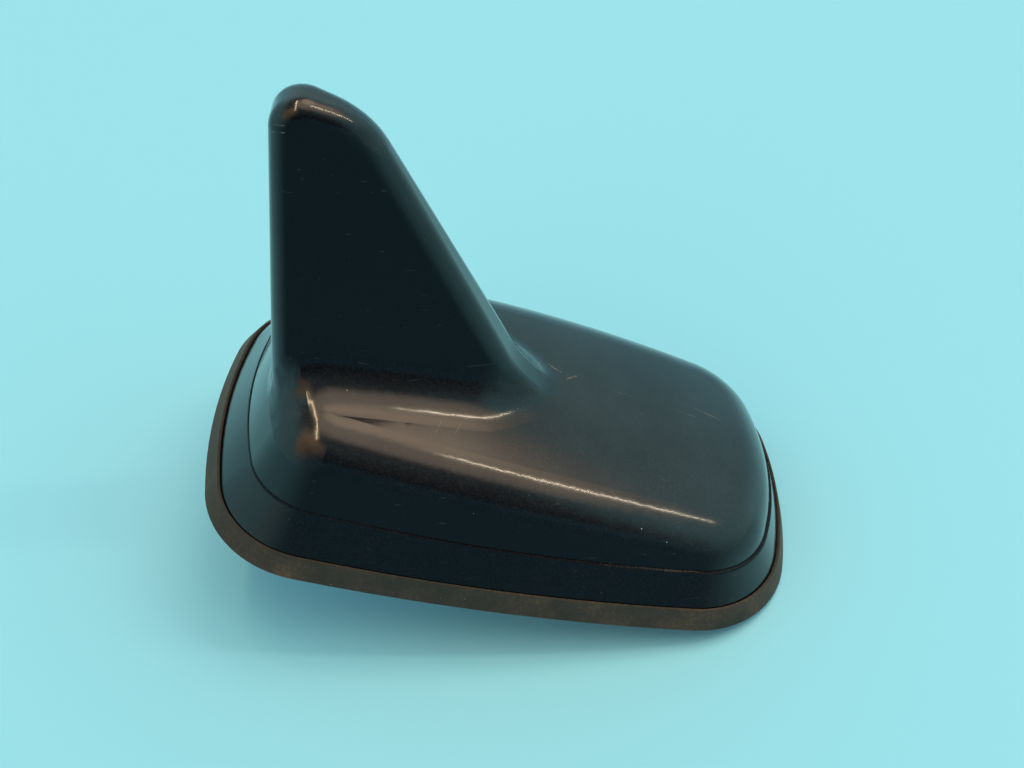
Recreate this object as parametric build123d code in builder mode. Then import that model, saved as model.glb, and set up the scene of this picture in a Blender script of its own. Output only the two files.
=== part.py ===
from build123d import *
import os
from math import asin, cos, degrees, radians, sin, tan

# Shark fin roof aerial, in millimetres.
# X points forward to the nose, Y to the left and Z up. The origin is where the axis of the
# fixing stud meets the roof, so the roof is the plane Z = 0.

# Outline of the foot on the roof
nose_reach = 52.9           # from the stud to the nose
tail_reach = 52.5           # from the stud to the tail
width = 65.8
widest_point = -14.0        # where along X the foot is widest
nose_bow = 5.8              # how far the nose bulges past its corners
tail_bow = 5.0
nose_narrowing = 4.0        # how far each side draws in towards the nose
tail_narrowing = 1.8
nose_corner_radius = 21.0
tail_corner_radius = 18.0
least_corner_radius = 1.0

# Roof gasket
gasket_height = 3.3
gasket_flare = 1.65         # how far its side leans in over that height
gasket_lip_width = 0.35     # of the lip round the cover's edge
gasket_lip_depth = 0.3
gasket_groove_inset = 2.2   # of the sealing groove underneath
gasket_groove_width = 1.3
gasket_groove_depth = 0.7
gasket_web = 1.2            # thickness of the flange under the base plate
gasket_web_width = 4.0

# Cover: a flared skirt, a fine step, then leaning walls rounded over into the deck
wall = 2.1
cover_edge_gap = 0.1        # from the gasket's lip to the foot of the skirt
skirt_lean = 28.5
step_height = 9.2           # of the step above the roof, at the stud
step_tilt = 1.1             # the step falls towards the nose
step_depth = 0.35
side_lean = 17.0
nose_lean = 22.0
tail_lean = 18.0
deck_height = 21.8          # at the stud
deck_slope = 6.6            # fall towards the nose, at the stud
deck_radius = 420.0         # of the deck's curve from tail to nose
crown_radius = 110.0        # of the deck's curve from side to side
shoulder_radius = 9.5

# Fin: straight tail, top and leading edges in side view, all rounded
fin_tail_setback = 11.9     # from the foot's tail end to the tail edge carried down to the roof
fin_tail_lean = 7.0
fin_root = 56.6             # from tail edge to leading edge, carried down to the roof
fin_nose_slope = 54.0
fin_peak = 72.4             # height of the tail corner before it is rounded
fin_top_slope = 12.0
fin_thickness = 20.6        # at the deck, at the tail edge
fin_side_lean = 7.8
fin_side_taper = 7.5        # each flank draws in towards the nose
fin_edge_radius = 3.3
fin_toe_rise = 3.7          # above the deck, where the leading edge starts to run out over it
fin_toe_slope = 34.0
fin_toe_round = 24.0
fin_tail_round = 5.0
fin_nose_round = 15.0
fin_foot_radius = 10.0      # hollow of the fin's foot on the deck
fin_sink = 5.6              # how far the fin goes down into the body
fin_wall = 1.9

# Base plate with its hollow stud
plate_thickness = 2.6
plate_edge_gap = 1.2        # from the plate's edge to the cover's inner wall
stud_radius = 9.0
stud_drop = 10.0            # below the roof
stud_bore_radius = 6.6
stud_chamfer = 1.0
stud_root_radius = 10.5     # collar round the stud that rests on the roof
peg_radius = 2.2
peg_setback = 18.5
peg_drop = 3.0
pocket_length = 12.0
pocket_width = 22.0
pocket_depth = 1.1
pocket_offset = 27.5
pocket_corner_radius = 3.0
stud_seal_width = 4.5

# Screws and posts
post_radius = 3.2
post_nose_setback = 21.5
post_tail_setback = 19.0
post_side_setback = 15.5
cover_screw_radius = 1.3
cover_screw_head_radius = 2.6
cover_screw_length = 9.0
board_screw_radius = 1.1
board_screw_head_radius = 1.9
board_screw_head_height = 1.3
board_screw_head_bevel = 0.5
board_screw_bite = 1.3      # depth of its hole below the standoff
board_screw_side_setback = 18.3
board_screw_nose = 3.85
board_screw_tail = -23.0
standoff_radius = 2.6
standoff_height = 2.2
screw_clearance = 0.1

# Boards
board_inset = 15.0
board_thickness = 1.6
post_notch_gap = 0.8        # from a post to the board's notch round it
fin_board_thickness = 1.6
fin_board_gap = 2.0         # inside the fin's wall
fin_board_setback = 40.5    # from the foot's tail end to the front of its foot
holder_setback = 8.5        # from the front of the fin board's foot to the holder
holder_length = 16.0
holder_width = 8.0
holder_height = 7.0
holder_floor = 1.2
holder_corner_radius = 1.2
contact_width = 2.0
contact_pitch = 3.4
contact_count = 2
contact_leg = 3.5
sheet = 0.4                 # thickness of formed sheet and plated metal
track_width = 2.0
track_pitch = 5.0
track_runs = 6
track_foot = 29.0
track_margin = 3.0
seat_clearance = 0.1

# Patch antenna and amplifier
patch_size = 20.0
patch_corner_radius = 0.6
patch_height = 3.6
patch_place = 17.5
patch_pad = 0.6
patch_pad_size = 18.0
electrode_size = 15.5
electrode_corner = 2.5      # cut off the plating's corner
feed_radius = 0.6
feed_offset = 2.5
feed_head_radius = 1.2
feed_head_height = 0.6
can_length = 12.0
can_width = 21.0
can_height = 4.5
can_corner_radius = 0.8
can_gap = 0.7               # from the fin board's foot to the can
chip_size = 4.0
chip_height = 1.0
chip_pitch = 10.5
part_length = 2.2
part_width = 1.3
part_height = 0.9
part_pitch = 4.4
parts_in_row = 3
part_gap = 1.9              # from the holder's side to the small parts

# Coax sockets in the stud
socket_pitch = 6.8
socket_radius = 2.3
socket_wall = 0.45
socket_end = 9.0            # how far the tubes reach below the roof
insert_end = 4.0            # how far the insert reaches below the roof
insert_flange_radius = 8.2
insulator_end = 4.6
pin_radius = 0.45
pin_end = 8.0
pin_tip_bevel = 0.2
pin_stub = 0.5              # of the pins above the board

os.makedirs("parts", exist_ok=True)

# Places that follow from those sizes
cover_foot = gasket_height - gasket_lip_depth
skirt_inset = gasket_flare + gasket_lip_width + cover_edge_gap
skirt_wall = wall / cos(radians(skirt_lean))
plate_bottom = gasket_web
plate_top = plate_bottom + plate_thickness
plate_inset = skirt_inset + skirt_wall + plate_edge_gap
board_bottom = plate_top + standoff_height
board_top = board_bottom + board_thickness
fin_toe_height = deck_height + fin_toe_rise
step_plane = Plane(
    origin=(0, 0, step_height),
    x_dir=(cos(radians(step_tilt)), 0, -sin(radians(step_tilt))),
    z_dir=(sin(radians(step_tilt)), 0, cos(radians(step_tilt))),
)
post_places = [
    (x, side * (width / 2 - post_side_setback))
    for x in (nose_reach - post_nose_setback, post_tail_setback - tail_reach)
    for side in (1, -1)
]
board_screw_places = [
    (x, side * (width / 2 - board_screw_side_setback))
    for x in (board_screw_nose, board_screw_tail)
    for side in (1, -1)
]
socket_places = [(side * socket_pitch / 2, 0) for side in (1, -1)]


def foot_outline(height, nose_inset, tail_inset, side_inset, corner_inset):
    """Foot's outline at a height, drawn in by its own amount at the nose, tail and sides."""
    nose_x = nose_reach - nose_inset
    tail_x = tail_inset - tail_reach
    half_width = width / 2 - side_inset
    nose_corner = Vector(nose_x - nose_bow, half_width - nose_narrowing)
    tail_corner = Vector(tail_x + tail_bow, half_width - tail_narrowing)
    nose_corner_right = Vector(nose_corner.X, -nose_corner.Y)
    tail_corner_right = Vector(tail_corner.X, -tail_corner.Y)
    with BuildSketch(Plane.XY.offset(height)) as foot:
        with BuildLine():
            ThreePointArc(tail_corner, (widest_point, half_width), nose_corner)
            ThreePointArc(nose_corner, (nose_x, 0), nose_corner_right)
            ThreePointArc(nose_corner_right, (widest_point, -half_width), tail_corner_right)
            ThreePointArc(tail_corner_right, (tail_x, 0), tail_corner)
        make_face()
        nose_radius = max(nose_corner_radius - corner_inset, least_corner_radius)
        tail_radius = max(tail_corner_radius - corner_inset, least_corner_radius)
        fillet(foot.vertices().sort_by(Axis.X)[-2:], nose_radius)
        fillet(foot.vertices().sort_by(Axis.X)[:2], tail_radius)
    return foot.sketch


def even_outline(height, inset):
    """Foot's outline at a height, drawn in evenly."""
    return foot_outline(height, inset, inset, inset, inset)


def skirt_solid(inset):
    """Skirt below the step, drawn in by a wall."""
    high_inset = skirt_inset + (deck_height - cover_foot) * tan(radians(skirt_lean))
    with BuildPart() as skirt:
        low_ring = even_outline(cover_foot, skirt_inset + inset)
        high_ring = even_outline(deck_height, high_inset + inset)
        loft([low_ring, high_ring], ruled=True)
        split(bisect_by=step_plane, keep=Keep.BOTTOM)
    return skirt.part


def body_solid(inset):
    """Body above the step, drawn in by a wall: leaning walls, crowned deck and rounded shoulder."""
    top = deck_height + shoulder_radius
    step_inset = skirt_inset + (step_height - cover_foot) * tan(radians(skirt_lean)) + step_depth
    deck_inset = step_inset + (deck_height - step_height) * tan(radians(side_lean))
    widest_round = (tail_corner_radius - deck_inset) / tan(radians(45 - side_lean / 2))
    with BuildPart() as body:
        rings = []
        for height in ((gasket_height + step_height) / 2, top):
            insets = [
                step_inset + inset / cos(radians(lean)) + (height - step_height) * tan(radians(lean))
                for lean in (nose_lean, tail_lean, side_lean)
            ]
            rings.append(foot_outline(height, *insets, insets[2] - inset))
        loft(rings, ruled=True)
        if inset == 0:
            split(bisect_by=step_plane, keep=Keep.TOP)
        crest_x = -deck_radius * sin(radians(deck_slope))
        axle_z = deck_height - deck_radius * cos(radians(deck_slope))
        crest_z = axle_z + deck_radius - inset
        with BuildSketch(Plane(origin=(crest_x, 0, 0), x_dir=(0, 1, 0), z_dir=(1, 0, 0))) as crown:
            with Locations((0, crest_z - crown_radius)):
                Circle(crown_radius)
            with Locations((0, crest_z - width / 2)):
                Rectangle(2 * width, width, mode=Mode.INTERSECT)
        axle = Axis((crest_x, 0, axle_z), (0, 1, 0))
        half_arc = degrees(asin((nose_reach - crest_x) / deck_radius))
        deck = revolve(crown.sketch, axis=axle, revolution_arc=2 * half_arc, mode=Mode.PRIVATE)
        add(deck.rotate(axle, -half_arc), mode=Mode.INTERSECT)
        shoulder = min(shoulder_radius, widest_round - least_corner_radius)
        fillet(body.faces().sort_by(Axis.Z)[-1].edges(), shoulder - inset)
    return body.part


def fin_profile(inset, foot):
    """Side view of the fin, drawn in by an amount, standing on a height."""
    tail_foot = fin_tail_setback - tail_reach
    tail_run = tan(radians(fin_tail_lean))
    nose_run = 1 / tan(radians(fin_nose_slope))
    top_fall = tan(radians(fin_top_slope))
    low = foot - inset
    tail_corner = Vector(tail_foot - fin_peak * tail_run, fin_peak)
    nose_foot = tail_foot + fin_root
    nose_corner_z = (fin_peak - (nose_foot - tail_corner.X) * top_fall) / (1 - nose_run * top_fall)
    nose_corner = Vector(nose_foot - nose_corner_z * nose_run, nose_corner_z)
    tail_tangent = fin_tail_round * tan(radians(90 + fin_tail_lean + fin_top_slope) / 2)
    nose_tangent = (nose_corner - tail_corner).length - tail_tangent - least_corner_radius
    widest_round = nose_tangent / tan(radians(fin_nose_slope - fin_top_slope) / 2)
    toe = Vector(nose_foot - fin_toe_height * nose_run, fin_toe_height)
    toe_end = toe.X + (toe.Y - low) / tan(radians(fin_toe_slope))
    with BuildSketch(Plane.XZ) as side:
        with BuildLine():
            Polyline(
                (tail_foot - low * tail_run, low),
                tail_corner,
                nose_corner,
                toe,
                (toe_end, low),
                close=True,
            )
        make_face()
        fillet(side.vertices().sort_by(Axis.Y)[2], fin_toe_round)
        fillet(side.vertices().sort_by(Axis.Y)[-2], min(fin_nose_round, widest_round))
        fillet(side.vertices().sort_by(Axis.Y)[-1], fin_tail_round)
        if inset > 0:
            offset(amount=-inset, kind=Kind.INTERSECTION)
    return side.sketch


def fin_solid(inset):
    """Fin drawn in by a wall, with leaning flanks and rounded edges."""
    with BuildPart() as fin:
        extrude(fin_profile(inset, deck_height - fin_sink), amount=fin_thickness, both=True)
        for side in (1, -1):
            flank = Plane(
                origin=(fin_tail_setback - tail_reach, side * fin_thickness / 2, deck_height),
                z_dir=(tan(radians(fin_side_taper)), side, tan(radians(fin_side_lean))),
            )
            split(bisect_by=flank.offset(-inset), keep=Keep.BOTTOM)
        flanks = fin.faces().sort_by(Axis.Y)
        rims = flanks[0].edges() + flanks[-1].edges()
        fillet(rims.sort_by(Axis.Z)[2:], fin_edge_radius - inset)
    return fin.part


# Room inside the cover, less the posts that take its screws
with BuildPart() as room:
    add(body_solid(wall))
    add(fin_solid(fin_wall))
    add(skirt_solid(skirt_wall))
    with BuildSketch(Plane.XY.offset(plate_top)):
        with Locations(*post_places):
            Circle(post_radius)
    extrude(amount=deck_height, mode=Mode.SUBTRACT)

# Cover: one moulding, hollow up into the fin, with pilot holes for its screws
pilot_depth = cover_screw_length - plate_thickness + screw_clearance
with BuildPart() as cover:
    add(body_solid(0))
    add(fin_solid(0))
    fillet(cover.edges(Select.NEW), fin_foot_radius)
    add(skirt_solid(0))
    add(room.part, mode=Mode.SUBTRACT)
    with Locations(*[(x, y, plate_top) for x, y in post_places]):
        Hole(cover_screw_radius + screw_clearance, depth=pilot_depth)
cover.part.label = "cover"
export_step(cover.part, "parts/cover.step")

# Roof gasket: flared rim with a lip round the cover's edge, a flange under the base plate and a
# sealing groove underneath
with BuildPart() as roof_gasket:
    loft([even_outline(0, 0), even_outline(gasket_height, gasket_flare)], ruled=True)
    cover_seat = even_outline(cover_foot, gasket_flare + gasket_lip_width)
    extrude(cover_seat, amount=gasket_height, mode=Mode.SUBTRACT)
    plate_seat = even_outline(gasket_web, plate_inset - seat_clearance)
    extrude(plate_seat, amount=gasket_height, mode=Mode.SUBTRACT)
    window = even_outline(0, plate_inset + gasket_web_width)
    extrude(window, amount=gasket_height, mode=Mode.SUBTRACT)
    groove_rim = even_outline(0, gasket_groove_inset)
    groove_core = even_outline(0, gasket_groove_inset + gasket_groove_width)
    extrude(groove_rim - groove_core, amount=gasket_groove_depth, mode=Mode.SUBTRACT)
roof_gasket.part.label = "roof_gasket"
export_step(roof_gasket.part, "parts/roof_gasket.step")

# Base plate: die casting with the hollow stud, a locating peg, pockets and board standoffs
with BuildPart() as base_plate:
    extrude(even_outline(plate_bottom, plate_inset), amount=plate_thickness)
    with BuildSketch(Plane.XY.offset(plate_bottom)):
        Circle(stud_radius)
    extrude(amount=-(plate_bottom + stud_drop))
    chamfer(base_plate.faces().sort_by(Axis.Z)[0].edges(), stud_chamfer)
    with BuildSketch(Plane.XY.offset(plate_bottom)):
        Circle(stud_root_radius)
    extrude(amount=-plate_bottom)
    with BuildSketch(Plane.XY.offset(plate_bottom)):
        with Locations((-peg_setback, 0)):
            Circle(peg_radius)
    extrude(amount=-(plate_bottom + peg_drop))
    with BuildSketch(Plane.XY.offset(plate_top)):
        with Locations(*board_screw_places):
            Circle(standoff_radius)
    extrude(amount=standoff_height)
    with BuildSketch(Plane.XY.offset(plate_bottom)):
        with Locations((pocket_offset, 0), (-pocket_offset, 0)):
            RectangleRounded(pocket_length, pocket_width, pocket_corner_radius)
    extrude(amount=pocket_depth, mode=Mode.SUBTRACT)
    with Locations((0, 0, plate_top)):
        Hole(stud_bore_radius)
    with Locations(*[(x, y, board_bottom) for x, y in board_screw_places]):
        Hole(board_screw_radius + screw_clearance, depth=standoff_height + board_screw_bite)
    with Locations(*[Location((x, y, plate_bottom), (180, 0, 0)) for x, y in post_places]):
        CounterSinkHole(cover_screw_radius + screw_clearance, cover_screw_head_radius + screw_clearance)
base_plate.part.label = "base_plate"
export_step(base_plate.part, "parts/base_plate.step")

# Rubber ring round the stud's root, flush with the gasket
with BuildPart() as stud_seal:
    with BuildSketch():
        Circle(stud_root_radius + seat_clearance + stud_seal_width)
        Circle(stud_root_radius + seat_clearance, mode=Mode.SUBTRACT)
    extrude(amount=plate_bottom)
stud_seal.part.label = "stud_seal"
export_step(stud_seal.part, "parts/stud_seal.step")

# Countersunk screws that hold the cover on the base plate, head down
with BuildPart() as cover_screws:
    head_height = cover_screw_head_radius - cover_screw_radius
    with BuildSketch(Plane.XZ) as half_section:
        with BuildLine():
            Polyline(
                (0, plate_bottom),
                (cover_screw_head_radius, plate_bottom),
                (cover_screw_radius, plate_bottom + head_height),
                (cover_screw_radius, plate_bottom + cover_screw_length),
                (0, plate_bottom + cover_screw_length),
                close=True,
            )
        make_face()
    screw = revolve(half_section.sketch, axis=Axis.Z, mode=Mode.PRIVATE)
    with Locations(*post_places):
        add(screw)
cover_screws.part.label = "cover_screws"
export_step(cover_screws.part, "parts/cover_screws.step")

# Main board, notched round the cover's posts
with BuildPart() as main_board:
    extrude(even_outline(board_bottom, board_inset), amount=board_thickness)
    with Locations(*[(x, y, board_top) for x, y in post_places]):
        Hole(post_radius + post_notch_gap)
    with Locations(*[(x, y, board_top) for x, y in board_screw_places]):
        Hole(board_screw_radius + screw_clearance)
    with Locations(*[(x, y, board_top) for x, y in socket_places]):
        Hole(pin_radius + seat_clearance)
    with Locations((patch_place, feed_offset, board_top)):
        Hole(feed_radius + seat_clearance)
main_board.part.label = "main_board"
export_step(main_board.part, "parts/main_board.step")

# Screws that hold the board on its standoffs
with BuildPart() as board_screws:
    with BuildSketch(Plane.XY.offset(board_top)):
        with Locations(*board_screw_places):
            Circle(board_screw_head_radius)
    extrude(amount=board_screw_head_height)
    chamfer(board_screws.faces().group_by(Axis.Z)[-1].edges(), board_screw_head_bevel)
    with BuildSketch(Plane.XY.offset(board_top)):
        with Locations(*board_screw_places):
            Circle(board_screw_radius)
    extrude(amount=-(board_thickness + standoff_height))
board_screws.part.label = "board_screws"
export_step(board_screws.part, "parts/board_screws.step")

# Plastic insert that carries the coax sockets in the stud's bore
with BuildPart() as socket_insert:
    with BuildSketch(Plane.XY.offset(board_bottom)):
        Circle(insert_flange_radius)
    extrude(amount=-standoff_height)
    with BuildSketch(Plane.XY.offset(board_bottom)):
        Circle(stud_bore_radius - seat_clearance)
    extrude(amount=-(board_bottom + insert_end))
    with Locations(*[(x, y, board_bottom) for x, y in socket_places]):
        Hole(socket_radius + seat_clearance)
socket_insert.part.label = "socket_insert"
export_step(socket_insert.part, "parts/socket_insert.step")

# Coax socket tubes, their insulators and their centre pins
with BuildPart() as socket_tubes:
    with BuildSketch(Plane.XY.offset(-socket_end)):
        with Locations(*socket_places):
            Circle(socket_radius)
            Circle(socket_radius - socket_wall, mode=Mode.SUBTRACT)
    extrude(amount=socket_end + board_bottom)
socket_tubes.part.label = "socket_tubes"
export_step(socket_tubes.part, "parts/socket_tubes.step")

with BuildPart() as socket_insulators:
    with BuildSketch(Plane.XY.offset(-insulator_end)):
        with Locations(*socket_places):
            Circle(socket_radius - socket_wall - seat_clearance)
            Circle(pin_radius + seat_clearance, mode=Mode.SUBTRACT)
    extrude(amount=insulator_end + board_bottom)
socket_insulators.part.label = "socket_insulators"
export_step(socket_insulators.part, "parts/socket_insulators.step")

with BuildPart() as socket_pins:
    with BuildSketch(Plane.XY.offset(-pin_end)):
        with Locations(*socket_places):
            Circle(pin_radius)
    extrude(amount=pin_end + board_top + pin_stub)
    chamfer(socket_pins.faces().group_by(Axis.Z)[0].edges(), pin_tip_bevel)
socket_pins.part.label = "socket_pins"
export_step(socket_pins.part, "parts/socket_pins.step")

# Ceramic patch on its pad, with its plated top and feed pin
with BuildPart() as patch_pad_part:
    with BuildSketch(Plane.XY.offset(board_top)):
        with Locations((patch_place, 0)):
            Rectangle(patch_pad_size, patch_pad_size)
        with Locations((patch_place, feed_offset)):
            Circle(feed_head_radius, mode=Mode.SUBTRACT)
    extrude(amount=patch_pad)
patch_pad_part.part.label = "patch_pad"
export_step(patch_pad_part.part, "parts/patch_pad.step")

patch_bottom = board_top + patch_pad
patch_top = patch_bottom + patch_height
with BuildPart() as patch_ceramic:
    with BuildSketch(Plane.XY.offset(patch_bottom)):
        with Locations((patch_place, 0)):
            RectangleRounded(patch_size, patch_size, patch_corner_radius)
        with Locations((patch_place, feed_offset)):
            Circle(feed_radius + seat_clearance, mode=Mode.SUBTRACT)
    extrude(amount=patch_height)
patch_ceramic.part.label = "patch_ceramic"
export_step(patch_ceramic.part, "parts/patch_ceramic.step")

with BuildPart() as patch_electrode:
    with BuildSketch(Plane.XY.offset(patch_top)) as plating:
        with Locations((patch_place, 0)):
            Rectangle(electrode_size, electrode_size)
        chamfer(plating.vertices().sort_by(Axis.X)[-1], electrode_corner)
        with Locations((patch_place, feed_offset)):
            Circle(feed_radius + seat_clearance, mode=Mode.SUBTRACT)
    extrude(amount=sheet)
patch_electrode.part.label = "patch_electrode"
export_step(patch_electrode.part, "parts/patch_electrode.step")

with BuildPart() as patch_pin:
    with BuildSketch(Plane.XY.offset(board_bottom)):
        with Locations((patch_place, feed_offset)):
            Circle(feed_radius)
    extrude(amount=patch_top + sheet - board_bottom)
    with BuildSketch(Plane.XY.offset(patch_top + sheet)):
        with Locations((patch_place, feed_offset)):
            Circle(feed_head_radius)
    extrude(amount=feed_head_height)
patch_pin.part.label = "patch_pin"
export_step(patch_pin.part, "parts/patch_pin.step")

# Folded shielding can over the amplifier, open below
fin_board_nose = fin_board_setback - tail_reach
can_place = fin_board_nose + can_gap + can_length / 2
with BuildPart() as shield_can:
    with BuildSketch(Plane.XY.offset(board_top)):
        with Locations((can_place, 0)):
            RectangleRounded(can_length, can_width, can_corner_radius)
    extrude(amount=can_height)
    offset(amount=-sheet, openings=shield_can.faces().sort_by(Axis.Z)[0])
shield_can.part.label = "shield_can"
export_step(shield_can.part, "parts/shield_can.step")

with BuildPart() as amplifier_chips:
    with BuildSketch(Plane.XY.offset(board_top)):
        with Locations((can_place, chip_pitch / 2), (can_place, -chip_pitch / 2)):
            Rectangle(chip_size, chip_size)
    extrude(amount=chip_height)
amplifier_chips.part.label = "amplifier_chips"
export_step(amplifier_chips.part, "parts/amplifier_chips.step")

# Small parts soldered in a row each side of the fin board's holder
holder_nose = fin_board_nose - holder_setback
holder_middle = holder_nose - holder_length / 2
part_row_pitch = holder_width + 2 * part_gap + part_width
with BuildPart() as board_parts:
    with BuildSketch(Plane.XY.offset(board_top)):
        with Locations((holder_middle, 0)):
            with GridLocations(part_pitch, part_row_pitch, parts_in_row, 2):
                Rectangle(part_length, part_width)
    extrude(amount=part_height)
board_parts.part.label = "board_parts"
export_step(board_parts.part, "parts/board_parts.step")

# Upright board in the fin, its front foot cut back behind the shielding can
fin_board_bottom = board_top + holder_floor
overhang_rise = fin_toe_height - fin_board_bottom
with BuildPart() as fin_board:
    board_side = fin_profile(fin_wall + fin_board_gap, fin_board_bottom)
    extrude(board_side, amount=fin_board_thickness / 2, both=True)
    with BuildSketch(Plane.XZ):
        with Locations((fin_board_nose, fin_board_bottom)):
            Rectangle(fin_root, overhang_rise, align=(Align.MIN, Align.MIN))
    extrude(amount=fin_board_thickness, both=True, mode=Mode.SUBTRACT)
fin_board.part.label = "fin_board"
export_step(fin_board.part, "parts/fin_board.step")

# Slotted holder that stands the fin board on the main board
with BuildPart() as fin_board_holder:
    with BuildSketch(Plane.XY.offset(board_top)):
        with Locations((holder_middle, 0)):
            RectangleRounded(holder_length, holder_width, holder_corner_radius)
    extrude(amount=holder_height)
    with BuildSketch(Plane.XY.offset(fin_board_bottom)):
        with Locations((holder_middle, 0)):
            Rectangle(holder_length, fin_board_thickness + 2 * seat_clearance)
    extrude(amount=holder_height, mode=Mode.SUBTRACT)
fin_board_holder.part.label = "fin_board_holder"
export_step(fin_board_holder.part, "parts/fin_board_holder.step")

# Bent tabs that join the fin board's track to the main board
fin_face = -fin_board_thickness / 2
contact_top = board_top + contact_leg
with BuildPart() as fin_contacts:
    for place in range(contact_count):
        with BuildSketch(Plane.YZ.offset(fin_board_nose - (place + 1) * contact_pitch)):
            with BuildLine():
                Polyline(
                    (fin_face, board_top),
                    (fin_face, contact_top),
                    (fin_face - sheet, contact_top),
                    (fin_face - sheet, board_top + sheet),
                    (fin_face - contact_leg, board_top + sheet),
                    (fin_face - contact_leg, board_top),
                    close=True,
                )
            make_face()
        extrude(amount=contact_width / 2, both=True)
fin_contacts.part.label = "fin_contacts"
export_step(fin_contacts.part, "parts/fin_contacts.step")

# Plated track that winds up the fin board between its tail and leading edges
tail_foot = fin_tail_setback - tail_reach
track_inset = fin_wall + fin_board_gap + track_margin
track_points = [(fin_board_nose - contact_pitch, contact_top)]
for run in range(track_runs):
    run_height = track_foot + run * track_pitch
    run_tail = tail_foot - run_height * tan(radians(fin_tail_lean)) + track_inset
    run_nose = tail_foot + fin_root - run_height / tan(radians(fin_nose_slope)) - track_inset
    run_nose = track_points[0][0] if run == 0 else run_nose - track_margin
    ends = [(run_nose, run_height), (run_tail, run_height)]
    track_points += ends if run % 2 == 0 else ends[::-1]
with BuildPart() as fin_track:
    with BuildSketch(Plane.XZ.offset(-fin_face)):
        with BuildLine():
            FilletPolyline(*track_points, radius=track_width)
        trace(line_width=track_width)
    extrude(amount=sheet)
fin_track.part.label = "fin_track"
export_step(fin_track.part, "parts/fin_track.step")
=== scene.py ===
import math

import bpy
import numpy as np
from mathutils import Matrix, Vector


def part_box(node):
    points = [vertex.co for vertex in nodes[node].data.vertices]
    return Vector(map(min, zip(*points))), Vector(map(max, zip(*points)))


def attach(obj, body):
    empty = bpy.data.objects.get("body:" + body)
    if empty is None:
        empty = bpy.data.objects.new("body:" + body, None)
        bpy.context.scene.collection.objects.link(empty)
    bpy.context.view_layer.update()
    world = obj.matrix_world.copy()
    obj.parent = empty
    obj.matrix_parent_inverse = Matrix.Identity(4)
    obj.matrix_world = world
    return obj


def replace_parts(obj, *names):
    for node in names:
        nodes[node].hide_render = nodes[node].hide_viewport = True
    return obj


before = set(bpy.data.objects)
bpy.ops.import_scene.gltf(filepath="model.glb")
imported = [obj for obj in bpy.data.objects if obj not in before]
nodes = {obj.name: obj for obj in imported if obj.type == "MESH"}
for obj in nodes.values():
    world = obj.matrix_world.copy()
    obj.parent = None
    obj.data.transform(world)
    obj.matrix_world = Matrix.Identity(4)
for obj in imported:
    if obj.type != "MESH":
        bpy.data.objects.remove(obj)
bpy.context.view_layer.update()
print("frame loaded:", len(nodes), "nodes")

mm = 0.001

# How the aerial lies: nose down, on the front of its gasket and on the stud under its middle
lie = {
    "noseDown": math.radians(12.5),
    "noseTouch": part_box("roof_gasket")[1][0],  # front edge of the gasket, at roof level
}
floorUp = Vector((-math.sin(lie["noseDown"]), 0.0, math.cos(lie["noseDown"])))


def floorHeight(x):
    return (x - lie["noseTouch"]) * math.tan(lie["noseDown"])


# Shader helpers

def feed(tree, value, socket):  # a socket is linked, anything else is set
    if isinstance(value, bpy.types.NodeSocket):
        tree.links.new(value, socket)
    else:
        socket.default_value = value


def addNode(tree, kind, **inputs):  # inputs go by name, or as i0, i1 and so on by place
    node = tree.nodes.new(kind)
    for name, value in inputs.items():
        byPlace = name[0] == "i" and name[1:].isdigit()
        feed(tree, value, node.inputs[int(name[1:])] if byPlace else node.inputs[name])
    return node


def addMath(tree, operation, first, second=0.0, third=0.0):
    node = addNode(tree, "ShaderNodeMath", i0=first, i1=second, i2=third)
    node.operation = operation
    return node.outputs[0]


def addVector(tree, operation, first, second=(0.0, 0.0, 0.0)):
    node = addNode(tree, "ShaderNodeVectorMath", i0=first, i1=second)
    node.operation = operation
    return node.outputs["Value" if operation in ("DOT_PRODUCT", "DISTANCE") else "Vector"]


def addRange(tree, value, low, high, outLow=0.0, outHigh=1.0, smooth=True):
    node = tree.nodes.new("ShaderNodeMapRange")
    node.interpolation_type = "SMOOTHSTEP" if smooth else "LINEAR"
    for name, item in (("Value", value), ("From Min", low), ("From Max", high),
                       ("To Min", outLow), ("To Max", outHigh)):
        feed(tree, item, node.inputs[name])
    return node.outputs["Result"]


def addMix(tree, factor, first, second):
    node = tree.nodes.new("ShaderNodeMix")
    node.data_type = "RGBA"
    for index, item in ((0, factor), (6, first), (7, second)):  # places of the colour sockets
        feed(tree, (*item, 1.0) if isinstance(item, tuple) else item, node.inputs[index])
    return node.outputs[2]


def anyOf(tree, masks):  # the strongest of several masks
    strongest = masks[0]
    for mask in masks[1:]:
        strongest = addMath(tree, "MAXIMUM", strongest, mask)
    return strongest


def addNoise(tree, vector, scale, detail=2.0, roughness=0.5):
    return addNode(tree, "ShaderNodeTexNoise", Vector=vector, Scale=scale, Detail=detail,
                   Roughness=roughness).outputs["Fac"]


def newGroup(name, inputs, outputs):
    group = bpy.data.node_groups.new(name, "ShaderNodeTree")
    for label, kind, value in inputs:
        socket = group.interface.new_socket(label, in_out="INPUT", socket_type=kind)
        if value is not None:
            socket.default_value = value
    for label, kind in outputs:
        group.interface.new_socket(label, in_out="OUTPUT", socket_type=kind)
    start = group.nodes.new("NodeGroupInput")
    end = group.nodes.new("NodeGroupOutput")
    return group, start.outputs, end.inputs


def useGroup(tree, group, **inputs):
    node = tree.nodes.new("ShaderNodeGroup")
    node.node_tree = group
    for name, value in inputs.items():
        feed(tree, value, node.inputs[name])
    return node.outputs


vectorSocket, floatSocket = "NodeSocketVector", "NodeSocketFloat"


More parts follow.
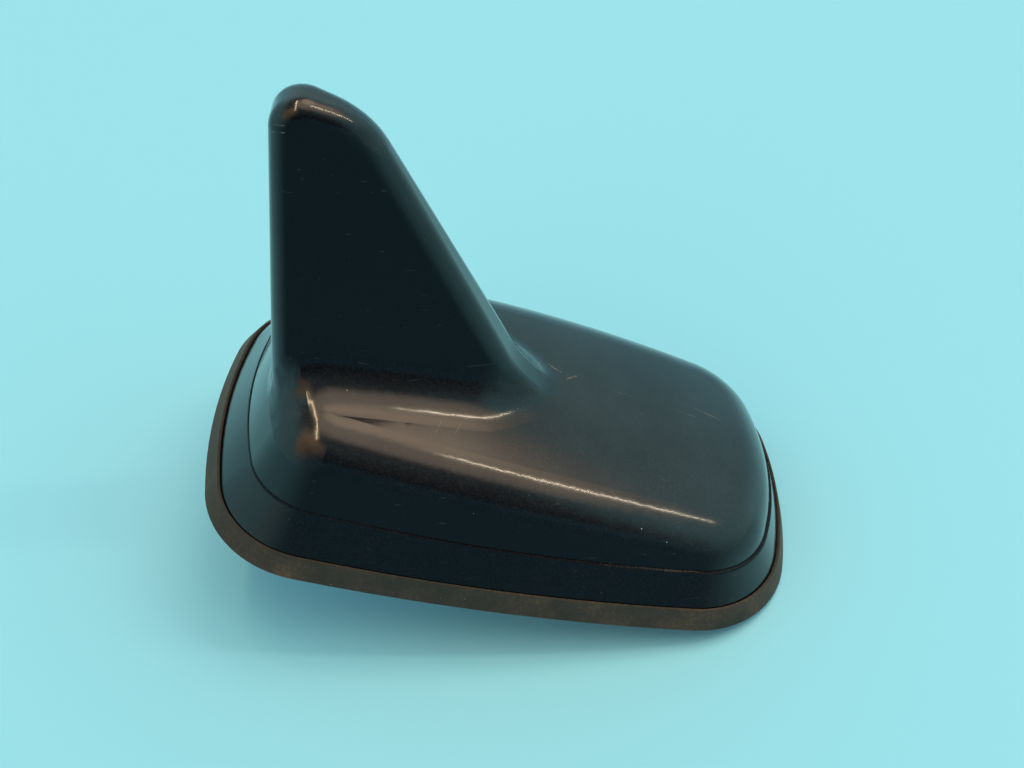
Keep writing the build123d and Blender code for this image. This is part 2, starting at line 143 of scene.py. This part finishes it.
def makeSpeckGroup():  # small round dust specks, scattered in cells, more of them in some patches
    group, given, out = newGroup("dustSpecks", [
        ("Place", vectorSocket, None), ("Spacing", floatSocket, 3.0), ("Size", floatSocket, 0.1),
        ("Amount", floatSocket, 0.5)], [("Mask", floatSocket)])
    cell = addMath(group, "DIVIDE", 1000.0, given["Spacing"])
    points = addNode(group, "ShaderNodeTexVoronoi", Vector=given["Place"], Scale=cell)
    reach = addMath(group, "DIVIDE", given["Size"], given["Spacing"])
    chance = addNode(group, "ShaderNodeSeparateColor", Color=points.outputs["Color"])
    radius = addMath(group, "MULTIPLY", reach, chance.outputs[1])
    speck = addRange(group, points.outputs["Distance"], radius, addMath(group, "MULTIPLY", radius, 0.5))
    kept = addMath(group, "LESS_THAN", chance.outputs[0], given["Amount"])
    group.links.new(addMath(group, "MULTIPLY", speck, kept), out["Mask"])
    return group


def makeHairlineGroup():  # fine scratches: the peaks of a noise that is stretched far along one direction
    group, given, out = newGroup("hairlines", [
        ("Place", vectorSocket, None), ("Turn", vectorSocket, (0.0, 0.0, 0.0)),
        ("Scale", floatSocket, 1200.0), ("Stretch", floatSocket, 30.0), ("Level", floatSocket, 0.7)],
        [("Mask", floatSocket)])
    turned = group.nodes.new("ShaderNodeVectorRotate")
    turned.rotation_type = "EULER_XYZ"
    group.links.new(given["Place"], turned.inputs["Vector"])
    group.links.new(given["Turn"], turned.inputs["Rotation"])
    narrow = addMath(group, "DIVIDE", 1.0, given["Stretch"])
    squeeze = addNode(group, "ShaderNodeCombineXYZ", X=narrow, Y=1.0, Z=1.0)
    place = addVector(group, "MULTIPLY", turned.outputs[0], squeeze.outputs[0])
    field = addNoise(group, place, given["Scale"], 0.0)
    line = addRange(group, field, given["Level"], addMath(group, "ADD", given["Level"], 0.06))
    group.links.new(line, out["Mask"])
    return group


def makeStrokeGroup():  # one scratch from a point to another: nearness to the straight line between them
    group, given, out = newGroup("stroke", [
        ("Place", vectorSocket, None), ("From", vectorSocket, (0.0, 0.0, 0.0)),
        ("To", vectorSocket, (0.01, 0.0, 0.0)), ("Width", floatSocket, 0.0001),
        ("Raggedness", floatSocket, 0.5)], [("Mask", floatSocket)])
    run = addVector(group, "SUBTRACT", given["To"], given["From"])
    step = addVector(group, "SUBTRACT", given["Place"], given["From"])
    share = addMath(group, "DIVIDE", addVector(group, "DOT_PRODUCT", step, run),
                    addVector(group, "DOT_PRODUCT", run, run))
    held = addRange(group, share, 0.0, 1.0, smooth=False)
    scale = group.nodes.new("ShaderNodeVectorMath")
    scale.operation = "SCALE"
    group.links.new(run, scale.inputs[0])
    group.links.new(held, scale.inputs["Scale"])
    gap = addVector(group, "DISTANCE", step, scale.outputs[0])
    near = addRange(group, gap, given["Width"], 0.0)
    ragged = addNoise(group, given["Place"], 2500.0, 2.0)
    kept = addRange(group, ragged, addMath(group, "MULTIPLY", given["Raggedness"], 0.6), 0.62)
    group.links.new(addMath(group, "MULTIPLY", near, kept), out["Mask"])
    return group


def makeLyingGroup():  # how far a face looks up, from one slope to another, or by a share to the nose or tail
    group, given, out = newGroup("lyingFace", [
        ("Low", floatSocket, 0.1), ("High", floatSocket, 1.0), ("Ends", floatSocket, 0.0)],
        [("Mask", floatSocket)])
    facing = addNode(group, "ShaderNodeNewGeometry")
    looks = addNode(group, "ShaderNodeSeparateXYZ", Vector=facing.outputs["Normal"])
    lying = addRange(group, looks.outputs["Z"], given["Low"], given["High"])
    endward = addRange(group, addMath(group, "ABSOLUTE", looks.outputs["X"]), 0.12, 0.6)
    both = addMath(group, "MAXIMUM", lying, addMath(group, "MULTIPLY", endward, given["Ends"]))
    group.links.new(both, out["Mask"])
    return group


def makeSettledGroup():  # how much dust lies on a face: more where it faces up, unevenly, with fine grains
    group, given, out = newGroup("settledDust", [
        ("Place", vectorSocket, None), ("Scale", floatSocket, 90.0), ("Amount", floatSocket, 0.5)],
        [("Mask", floatSocket)])
    lying = useGroup(group, lyingGroup, Low=0.1, High=1.0)["Mask"]
    clouds = addRange(group, addNoise(group, given["Place"], given["Scale"], 3.0), 0.2, 0.8, 0.6, 1.0)
    fine = addRange(group, addNoise(group, given["Place"], 2600.0, 3.0, 0.7), 0.40, 0.72, 0.2, 1.0)
    both = addMath(group, "MULTIPLY", clouds, fine)
    laid = addMath(group, "MULTIPLY", addMath(group, "MULTIPLY_ADD", lying, 0.96, 0.04), both)
    group.links.new(addMath(group, "MULTIPLY", laid, given["Amount"]), out["Mask"])
    return group


def makeGrainGroup():  # fine moulded or cast grain as a height, with a slower unevenness under it
    group, given, out = newGroup("grain", [
        ("Place", vectorSocket, None), ("Fine", floatSocket, 3000.0), ("Slow", floatSocket, 200.0),
        ("Slow Share", floatSocket, 0.3)], [("Height", floatSocket)])
    fine = addNoise(group, given["Place"], given["Fine"], 3.0, 0.6)
    slow = addNoise(group, given["Place"], given["Slow"], 2.0)
    mixed = addMath(group, "MULTIPLY_ADD", slow, given["Slow Share"], fine)
    group.links.new(mixed, out["Height"])
    return group


speckGroup = makeSpeckGroup()
hairlineGroup = makeHairlineGroup()
strokeGroup = makeStrokeGroup()
lyingGroup = makeLyingGroup()
settledGroup = makeSettledGroup()
grainGroup = makeGrainGroup()


def startMaterial(name):
    material = bpy.data.materials.new(name)
    material.use_nodes = True
    tree = material.node_tree
    shader = tree.nodes["Principled BSDF"]
    place = tree.nodes.new("ShaderNodeTexCoord").outputs["Object"]
    return material, tree, shader, place


def setBump(tree, shader, height, strength, distance):
    bump = addNode(tree, "ShaderNodeBump", Strength=strength, Distance=distance, Height=height)
    tree.links.new(bump.outputs["Normal"], shader.inputs["Normal"])


def dress(nodeName, material):
    for slot in nodes[nodeName].material_slots:
        slot.material = material


# Cover: black moulded plastic, polished, with a thin film of dust, fine hairlines and a few knocks

coverLook = {
    "black": (0.0001, 0.0006, 0.0028),
    "film": (0.24, 0.23, 0.21),  # dust lying on the top
    "speck": (0.55, 0.54, 0.50),
    "bare": (0.40, 0.34, 0.26),  # plastic laid bare in a scratch
    "roughness": (0.07, 0.12),
    "ior": 1.25,
    "coat": (0.50, 0.86),  # slopes between which the film of polish on the top begins and is full
    "coatEnds": 0.75,  # share of it on the faces at the nose and tail
    "coatRoughness": 0.16,
    "coatWorn": (0.75, 0.95),  # least and most of it that is left
    "step": {"height": 9.2, "tilt": 1.1, "reach": 0.28},  # painted shade along the step, where the polish film is left off so the line stays dark; in millimetres and degrees
    "dust": {"Scale": 70.0, "Amount": 0.075},
    "specks": {"Spacing": 2.8, "Size": 0.16, "Amount": 0.4},  # millimetres
    "hairs": {"Scale": 2400.0, "Stretch": 40.0, "Level": 0.83},
    "hairTurns": [(0.06, 0.10, 0.10), (-0.10, 0.14, -0.24), (0.12, -0.12, 0.42)],
    "grain": {"Fine": 2200.0, "Slow": 260.0, "Slow Share": 0.05},
    "bump": (0.12, 0.00002),  # strength and depth in metres
    "pale": {"specks": 0.75, "hairs": 0.035, "scratches": 0.28},  # how far each one hides the black
    "matte": {"dust": 0.5, "hairs": 0.12, "scratches": 0.3},  # roughness that each one adds
    "raggedness": 0.55,
    "strokes": [  # from, to, width in millimetres
        ((-48.1, -3.5, 66.9), (-46.1, -4.5, 67.8), 0.14),
        ((-48.1, -3.6, 65.8), (-45.9, -4.8, 66.8), 0.18),
        ((-44.6, -5.0, 65.5), (-42.7, -4.3, 68.7), 0.16),
        ((6.7, 3.2, 20.9), (8.4, 4.6, 20.7), 0.30),
        ((3.4, 5.6, 21.2), (5.4, 4.6, 21.0), 0.35),
        ((15.5, 3.5, 19.6), (31.1, 3.3, 16.9), 0.16),
        ((27.0, 6.2, 17.5), (36.3, 4.7, 15.9), 0.14),
        ((-14.9, -13.2, 22.5), (-15.7, -16.7, 22.0), 0.09),
        ((-11.4, -12.3, 22.3), (-12.4, -15.1, 22.0), 0.09),
    ],
}


def makeCoverMaterial(look):
    material, tree, shader, place = startMaterial("blackMoulding")
    masks = {
        "dust": useGroup(tree, settledGroup, Place=place, **look["dust"])["Mask"],
        "specks": useGroup(tree, speckGroup, Place=place, **look["specks"])["Mask"],
        "hairs": anyOf(tree, [useGroup(tree, hairlineGroup, Place=place, Turn=turn, **look["hairs"])["Mask"]
                              for turn in look["hairTurns"]]),
        "scratches": anyOf(tree, [useGroup(tree, strokeGroup, Place=place, From=Vector(first) * mm,
                                           To=Vector(last) * mm, Width=width * mm,
                                           Raggedness=look["raggedness"])["Mask"]
                                  for first, last, width in look["strokes"]]),
    }
    colour = addMix(tree, masks["dust"], look["black"], look["film"])
    for name, shade in (("specks", "speck"), ("hairs", "speck"), ("scratches", "bare")):
        colour = addMix(tree, addMath(tree, "MULTIPLY", masks[name], look["pale"][name]), colour, look[shade])
    tree.links.new(colour, shader.inputs["Base Color"])
    smear = addNoise(tree, place, 55.0, 4.0, 0.6)
    rough = addRange(tree, smear, 0.3, 0.75, *look["roughness"])
    for name, share in look["matte"].items():
        rough = addMath(tree, "ADD", rough, addMath(tree, "MULTIPLY", masks[name], share))
    tree.links.new(rough, shader.inputs["Roughness"])
    shader.inputs["IOR"].default_value = look["ior"]
    low, high = look["coat"]
    polish = useGroup(tree, lyingGroup, Low=low, High=high, Ends=look["coatEnds"])["Mask"]
    worn = addRange(tree, smear, 0.3, 0.7, *look["coatWorn"])
    # painted shade along the step: the polish film is left off on a narrow band round the step plane, so the
    # step line stays dark
    step = look["step"]
    alongStep = addVector(tree, "DOT_PRODUCT", place, (math.tan(math.radians(step["tilt"])), 0.0, 1.0))
    fromStep = addMath(tree, "ABSOLUTE", addMath(tree, "SUBTRACT", alongStep, step["height"] * mm))
    outsideStepShade = addRange(tree, fromStep, step["reach"] * mm * 0.6, step["reach"] * mm)
    polish = addMath(tree, "MULTIPLY", polish, outsideStepShade)
    tree.links.new(addMath(tree, "MULTIPLY", polish, worn), shader.inputs["Coat Weight"])
    shader.inputs["Coat Roughness"].default_value = look["coatRoughness"]
    grain = useGroup(tree, grainGroup, Place=place, **look["grain"])["Height"]
    height = addMath(tree, "SUBTRACT", grain, addMath(tree, "MULTIPLY", masks["scratches"], 2.0))
    setBump(tree, shader, height, *look["bump"])
    return material


dress("cover", makeCoverMaterial(coverLook))
print("cover dressed")


# Rubber: gasket and seal, matte, with brown dust worked into it

rubberFinish = {  # what the gasket and the seal share
    "speck": (0.30, 0.27, 0.22),
    "specks": {"Spacing": 2.0, "Size": 0.16, "Amount": 0.5},  # millimetres
    "speckShare": 0.5,
    "roughness": (0.62, 0.85),
    "specular": 0.35,
    "sheen": 0.12,  # dust catches the light where the rubber turns away
    "sheenRoughness": 0.4,
    "sheenTint": (0.9, 0.8, 0.66),
    "grain": {"Fine": 1600.0, "Slow": 300.0},
    "bump": (0.35, 0.00006),
}
gasketLook = {"rubber": (0.016, 0.014, 0.012), "dust": (0.050, 0.041, 0.031), "dustAmount": (0.25, 0.75),
              "dirt": (0.120, 0.076, 0.042), "dirtAmount": 0.75}
sealLook = {"rubber": (0.020, 0.020, 0.020), "dust": (0.06, 0.055, 0.05), "dustAmount": (0.55, 0.95),
            "dirt": (0.08, 0.06, 0.045), "dirtAmount": 0.3}


def makeRubberMaterial(name, look):
    material, tree, shader, place = startMaterial(name)
    clouds = addNoise(tree, place, 120.0, 6.0, 0.65)
    dust = addRange(tree, clouds, *look["dustAmount"])
    fine = addRange(tree, addNoise(tree, place, 1800.0, 3.0), 0.35, 0.7, 0.45, 1.0)
    colour = addMix(tree, addMath(tree, "MULTIPLY", dust, fine), look["rubber"], look["dust"])
    patches = addRange(tree, addNoise(tree, place, 75.0, 5.0, 0.62), 0.48, 0.78)
    dirt = addMath(tree, "MULTIPLY", addMath(tree, "MULTIPLY", patches, fine), look["dirtAmount"])
    colour = addMix(tree, dirt, colour, look["dirt"])
    finish = rubberFinish
    specks = useGroup(tree, speckGroup, Place=place, **finish["specks"])["Mask"]
    colour = addMix(tree, addMath(tree, "MULTIPLY", specks, finish["speckShare"]), colour, finish["speck"])
    tree.links.new(colour, shader.inputs["Base Color"])
    tree.links.new(addRange(tree, clouds, 0.2, 0.8, *finish["roughness"]), shader.inputs["Roughness"])
    shader.inputs["Specular IOR Level"].default_value = finish["specular"]
    shader.inputs["Sheen Weight"].default_value = finish["sheen"]
    shader.inputs["Sheen Roughness"].default_value = finish["sheenRoughness"]
    shader.inputs["Sheen Tint"].default_value = (*finish["sheenTint"], 1.0)
    grain = useGroup(tree, grainGroup, Place=place, **finish["grain"])["Height"]
    setBump(tree, shader, grain, *finish["bump"])
    return material


dress("roof_gasket", makeRubberMaterial("dustyRubber", gasketLook))
dress("stud_seal", makeRubberMaterial("sealRubber", sealLook))
print("rubber dressed")


# Metal pieces: cast plate, screws, tinned sheet, plated contacts

metalLooks = {
    "castZinc": {"nodes": ["base_plate"], "colour": (0.52, 0.52, 0.53), "stain": (0.30, 0.29, 0.28),
                 "roughness": (0.42, 0.62), "grain": 1200.0, "bump": 0.35},
    "platedScrew": {"nodes": ["cover_screws", "board_screws"], "colour": (0.55, 0.55, 0.53),
                    "stain": (0.38, 0.35, 0.28), "roughness": (0.25, 0.42), "grain": 3000.0, "bump": 0.12},
    "tinnedSheet": {"nodes": ["shield_can", "patch_pin"], "colour": (0.66, 0.66, 0.64),
                    "stain": (0.48, 0.48, 0.46), "roughness": (0.2, 0.38), "grain": 2200.0, "bump": 0.1},
    "silverPlating": {"nodes": ["patch_electrode"], "colour": (0.74, 0.72, 0.68), "stain": (0.55, 0.50, 0.42),
                      "roughness": (0.3, 0.5), "grain": 2600.0, "bump": 0.15},
    "goldPlating": {"nodes": ["fin_contacts", "fin_track", "socket_tubes", "socket_pins"],
                    "colour": (0.66, 0.46, 0.20), "stain": (0.45, 0.30, 0.14),
                    "roughness": (0.22, 0.4), "grain": 2600.0, "bump": 0.1},
}


def makeMetalMaterial(name, look):
    material, tree, shader, place = startMaterial(name)
    clouds = addNoise(tree, place, 180.0, 5.0, 0.6)
    stain = addRange(tree, clouds, 0.45, 0.8)
    tree.links.new(addMix(tree, stain, look["colour"], look["stain"]), shader.inputs["Base Color"])
    tree.links.new(addRange(tree, clouds, 0.25, 0.75, *look["roughness"]), shader.inputs["Roughness"])
    shader.inputs["Metallic"].default_value = 1.0
    grain = useGroup(tree, grainGroup, Place=place, Fine=look["grain"], Slow=220.0)["Height"]
    setBump(tree, shader, grain, look["bump"], 0.00005)
    return material


metals = {name: makeMetalMaterial(name, look) for name, look in metalLooks.items()}
for name, look in metalLooks.items():
    for nodeName in look["nodes"]:
        dress(nodeName, metals[name])
print("metal dressed")


def addPiece(name, points, faces, material):
    mesh = bpy.data.meshes.new(name)
    mesh.from_pydata((points.reshape(-1, 3) * mm).tolist(), [], faces)
    mesh.materials.append(material)
    piece = bpy.data.objects.new(name, mesh)
    bpy.context.scene.collection.objects.link(piece)
    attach(piece, "root")
    return piece


# Stud thread: a fine ridge wound round the plain stud

threadLook = {  # millimetres
    "root": 8.8,
    "crest": 9.2,
    "sunk": 0.2,  # how far the ridge goes into the stud
    "pitch": 1.25,
    "low": -8.6,
    "high": -1.0,
    "across": (-0.46, -0.06, 0.06, 0.46, 0.0),  # places of the ridge's corners, in pitches
    "runOut": 0.35,  # turns over which it fades at each end
    "perTurn": 96,
}


def makeStudThread(look):  # a flat-topped ridge carried along a helix; at both ends its crest sinks to the root
    turns = (look["high"] - look["low"]) / look["pitch"]
    turn = np.linspace(0.0, turns, int(turns * look["perTurn"]))[:, None]
    fade = np.clip(np.minimum(turn, turns - turn) / look["runOut"], 0.0, 1.0)
    root = np.full_like(turn, look["root"])
    crest = root + (look["crest"] - look["root"]) * fade
    radius = np.hstack((root, crest, crest, root, root - look["sunk"]))
    height = look["low"] + look["pitch"] * (turn + np.array(look["across"]))
    angle = 2.0 * np.pi * turn
    points = np.stack((radius * np.cos(angle), radius * np.sin(angle), height), axis=2)
    grid = np.arange(radius.size).reshape(radius.shape)
    beside = np.roll(grid, -1, axis=1)
    sides = np.stack((grid[:-1], grid[1:], beside[1:], beside[:-1]), axis=2).reshape(-1, 4)
    ends = [grid[0].tolist(), grid[-1, ::-1].tolist()]
    return addPiece("studThread", points, sides.tolist() + ends, metals["castZinc"])


makeStudThread(threadLook)


# Cover screws: countersunk heads with a lobed recess

screwLook = {
    "outline": [  # radius, height over the head's face and share of the lobes, from the recess to the tip
        (0.85, 1.10, 1.0), (0.98, 1.04, 1.0), (1.04, 0.14, 1.0), (1.14, 0.0, 1.0), (1.55, 0.0, 0.0),
        (2.40, 0.0, 0.0), (2.50, 0.06, 0.0), (1.30, 1.30, 0.0), (1.30, 8.40, 0.0), (0.90, 9.0, 0.0)],
    "headRadius": 2.6,
    "lobes": 6,
    "lobeShare": 0.15,  # of the recess's radius
    "around": 72,
}


def makeCoverScrews(look):  # an outline turned round each screw's axis; the recess swells once for each lobe
    low, high = (np.array(corner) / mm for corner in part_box("cover_screws"))
    inset = look["headRadius"]
    middles = np.array([(x, y, low[2]) for x in (low[0] + inset, high[0] - inset)
                        for y in (low[1] + inset, high[1] - inset)])
    radius, height, lobes = np.array(look["outline"]).T[:, :, None]
    angle = np.linspace(0.0, 2.0 * np.pi, look["around"], endpoint=False)[None, :]
    turned = radius * (1.0 + look["lobeShare"] * lobes * np.cos(look["lobes"] * angle))
    level = np.broadcast_to(height, turned.shape)
    wall = np.stack((turned * np.cos(angle), turned * np.sin(angle), level), axis=2).reshape(-1, 3)
    poles = np.array([(0.0, 0.0, height[0, 0]), (0.0, 0.0, height[-1, 0])])
    one = np.vstack((wall, poles))
    points = middles[:, None, :] + one[None, :, :]
    grid = np.arange(wall.shape[0]).reshape(turned.shape)
    beside = np.roll(grid, -1, axis=1)
    sides = np.stack((grid[:-1], beside[:-1], beside[1:], grid[1:]), axis=2).reshape(-1, 4)
    floorFan = np.stack((beside[0], grid[0], np.full_like(grid[0], len(wall))), axis=1)
    tipFan = np.stack((grid[-1], beside[-1], np.full_like(grid[0], len(wall) + 1)), axis=1)
    starts = np.arange(len(middles))[:, None, None] * len(one)
    faces = []
    for part in (sides, floorFan, tipFan):
        faces += (starts + part).reshape(-1, part.shape[1]).tolist()
    piece = addPiece("coverScrews", points, faces, metals["platedScrew"])
    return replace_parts(piece, "cover_screws")


makeCoverScrews(screwLook)
print("thread and screws made")


# Boards, ceramic and small plastic pieces

plainLooks = {
    "boardLacquer": {"nodes": ["main_board", "fin_board"], "colour": (0.016, 0.10, 0.05),
                     "other": (0.03, 0.15, 0.08), "roughness": (0.25, 0.4), "grain": 900.0, "bump": 0.1},
    "patchCeramic": {"nodes": ["patch_ceramic"], "colour": (0.42, 0.38, 0.31), "other": (0.34, 0.30, 0.24),
                     "roughness": (0.5, 0.7), "grain": 1500.0, "bump": 0.25},
    "padFoam": {"nodes": ["patch_pad"], "colour": (0.5, 0.5, 0.47), "other": (0.4, 0.4, 0.37),
                "roughness": (0.8, 0.95), "grain": 1300.0, "bump": 0.5},
    "chipMoulding": {"nodes": ["amplifier_chips"], "colour": (0.018, 0.018, 0.019), "other": (0.03, 0.03, 0.03),
                     "roughness": (0.5, 0.65), "grain": 3500.0, "bump": 0.3},
    "partCeramic": {"nodes": ["board_parts"], "colour": (0.30, 0.22, 0.14), "other": (0.22, 0.16, 0.10),
                    "roughness": (0.4, 0.6), "grain": 2500.0, "bump": 0.15},
    "insertMoulding": {"nodes": ["socket_insert", "fin_board_holder"], "colour": (0.035, 0.035, 0.04),
                       "other": (0.055, 0.055, 0.06), "roughness": (0.4, 0.55), "grain": 2500.0, "bump": 0.25},
    "insulatorWhite": {"nodes": ["socket_insulators"], "colour": (0.72, 0.72, 0.69),
                       "other": (0.64, 0.63, 0.58), "roughness": (0.35, 0.5), "grain": 2000.0, "bump": 0.1},
}


def makePlainMaterial(name, look):
    material, tree, shader, place = startMaterial(name)
    clouds = addNoise(tree, place, 260.0, 5.0, 0.6)
    tree.links.new(addMix(tree, addRange(tree, clouds, 0.35, 0.7), look["colour"], look["other"]),
                   shader.inputs["Base Color"])
    tree.links.new(addRange(tree, clouds, 0.25, 0.75, *look["roughness"]), shader.inputs["Roughness"])
    grain = useGroup(tree, grainGroup, Place=place, Fine=look["grain"], Slow=260.0)["Height"]
    setBump(tree, shader, grain, look["bump"], 0.00004)
    return material


for name, look in plainLooks.items():
    finish = makePlainMaterial(name, look)
    for nodeName in look["nodes"]:
        dress(nodeName, finish)
print("boards and small pieces dressed")


# Floor: plain and pale, seen through from below

floorLook = {"half": 3.0, "colour": (0.27, 0.66, 0.87)}


def makeFloor(look):
    half = look["half"]
    corners = np.array([(-half, -half), (half, -half), (half, half), (-half, half)])
    heights = floorHeight(corners[:, :1])
    mesh = bpy.data.meshes.new("floor")
    mesh.from_pydata(np.hstack((corners, heights)).tolist(), [], [(0, 1, 2, 3)])
    floor = bpy.data.objects.new("floor", mesh)
    bpy.context.scene.collection.objects.link(floor)
    material = bpy.data.materials.new("paleFloor")
    material.use_nodes = True
    tree = material.node_tree
    shader = tree.nodes["Principled BSDF"]
    shader.inputs["Base Color"].default_value = (*look["colour"], 1.0)
    shader.inputs["Roughness"].default_value = 0.9
    shader.inputs["Specular IOR Level"].default_value = 0.1
    clear = tree.nodes.new("ShaderNodeBsdfTransparent")
    facing = tree.nodes.new("ShaderNodeNewGeometry")
    choice = tree.nodes.new("ShaderNodeMixShader")
    tree.links.new(facing.outputs["Backfacing"], choice.inputs[0])
    tree.links.new(shader.outputs[0], choice.inputs[1])
    tree.links.new(clear.outputs[0], choice.inputs[2])
    tree.links.new(choice.outputs[0], tree.nodes["Material Output"].inputs["Surface"])
    mesh.materials.append(material)
    return floor


makeFloor(floorLook)


# Light: a soft room, dim on the near side, pale low down at both ends, warm overhead, with two long strip lamps

roomLook = {  # directions are along, across and above the floor
    "near": (0.16, 0.18, 0.19),
    "low": (0.33, 0.74, 0.86),
    "middle": (0.52, 0.86, 0.89),
    "top": (0.22, 0.26, 0.28),
    "below": (0.28, 0.70, 0.84),
    "bright": (-0.5, 0.866, 0.0),  # the side that the room is lit from
    "nearRises": (0.22, 0.38),  # heights, as shares of 1 overhead, where each band gives way to the next
    "middleRises": (0.2, 0.55),
    "topRises": (0.64, 0.85),
    "dimToBright": (-0.8, -0.35),
    "belowFloor": (0.0, -0.04),
    "panels": [  # colour, axis, degrees from the axis where it starts and is full
        ((0.48, 0.95, 1.0), (-0.88, -0.42, 0.22), (50.0, 20.0)),
        ((0.48, 0.95, 1.0), (0.97, -0.12, 0.22), (50.0, 20.0)),
        ((1.95, 1.55, 1.2), (0.296, 0.06, 0.953), (36.0, 16.0)),
        ((3.7, 2.8, 2.05), (0.27, 0.30, 0.915), (20.0, 5.0)),
        ((1.9, 1.2, 0.66), (-0.48, -0.55, 0.684), (29.0, 4.0)),
    ],
}


def makeRoom(look):
    world = bpy.data.worlds.new("softRoom")
    bpy.context.scene.world = world
    world.use_nodes = True
    tree = world.node_tree
    background = tree.nodes["Background"]
    direction = tree.nodes.new("ShaderNodeTexCoord").outputs["Generated"]
    level = addNode(tree, "ShaderNodeVectorRotate", Vector=direction, Axis=(0.0, 1.0, 0.0),
                    Angle=lie["noseDown"])
    level.rotation_type = "AXIS_ANGLE"
    toward = level.outputs[0]
    height = addNode(tree, "ShaderNodeSeparateXYZ", Vector=toward).outputs["Z"]
    lit = addMix(tree, addRange(tree, height, *look["middleRises"]), look["low"], look["middle"])
    lit = addMix(tree, addRange(tree, height, *look["topRises"]), lit, look["top"])
    dim = addMix(tree, addRange(tree, height, *look["nearRises"]), look["below"], look["near"])
    side = addVector(tree, "DOT_PRODUCT", toward, look["bright"])
    colour = addMix(tree, addRange(tree, side, *look["dimToBright"]), dim, lit)
    for panelColour, axis, reach in look["panels"]:
        starts, full = (math.cos(math.radians(angle)) for angle in reach)
        near = addRange(tree, addVector(tree, "DOT_PRODUCT", toward, axis), starts, full)
        colour = addMix(tree, near, colour, panelColour)
    colour = addMix(tree, addRange(tree, height, *look["belowFloor"]), colour, look["below"])
    tree.links.new(colour, background.inputs["Color"])
    return world


makeRoom(roomLook)

stripLamps = [  # ends are along and across the floor, in shares of the height
    {"height": 1.6, "from": (0.47, 0.02), "to": (1.2, 0.1), "width": 0.02, "power": 6.2,
     "colour": (1.0, 0.83, 0.6)},
    {"height": 1.6, "from": (-0.24, -0.55), "to": (-0.22, 0.38), "width": 0.03, "power": 7.0,
     "colour": (1.0, 0.75, 0.42)},
]


def fromFloor(x, y, z):  # a point given along, across and above the floor, turned into the aerial's frame
    return Matrix.Rotation(-lie["noseDown"], 3, "Y") @ Vector((x, y, z))


def makeStripLamp(look):
    height = look["height"]
    first, last = (fromFloor(along * height, across * height, height)
                   for along, across in (look["from"], look["to"]))
    middle = (first + last) / 2
    lamp = bpy.data.lights.new("stripLamp", "AREA")
    lamp.shape = "RECTANGLE"
    lamp.size = (last - first).length
    lamp.size_y = look["width"]
    lamp.energy = look["power"]
    lamp.color = look["colour"]
    holder = bpy.data.objects.new("stripLamp", lamp)
    bpy.context.scene.collection.objects.link(holder)
    along = (last - first).normalized()
    across = middle.cross(along).normalized()
    back = along.cross(across)  # an area lamp shines along its own -Z
    turn = Matrix((along, across, back)).transposed()
    holder.matrix_world = Matrix.Translation(middle) @ turn.to_4x4()


for look in stripLamps:
    makeStripLamp(look)
print("floor and light set")


# Camera: level over the floor, from the near side

cameraView = {
    "place": Vector((-0.035054, -0.168785, 0.185687)),
    "aim": Vector((-0.000993, 0.010392, 0.010431)),
    "roll": math.radians(-0.306),
    "focalPixels": 1390.0,
    "imageWidth": 1024.0,
}


def makeCamera(view):
    camera = bpy.data.cameras.new("camera")
    camera.sensor_width = 36.0
    camera.lens = view["focalPixels"] / view["imageWidth"] * camera.sensor_width
    camera.clip_start = 0.01
    holder = bpy.data.objects.new("camera", camera)
    bpy.context.scene.collection.objects.link(holder)
    forward = (view["aim"] - view["place"]).normalized()
    right = forward.cross(floorUp).normalized()
    upward = right.cross(forward)
    rolledRight = right * math.cos(view["roll"]) + upward * math.sin(view["roll"])
    rolledUp = upward * math.cos(view["roll"]) - right * math.sin(view["roll"])
    turn = Matrix((rolledRight, rolledUp, -forward)).transposed()
    holder.matrix_world = Matrix.Translation(view["place"]) @ turn.to_4x4()
    bpy.context.scene.camera = holder


makeCamera(cameraView)
bpy.context.scene.view_settings.view_transform = "Standard"
print("camera set")
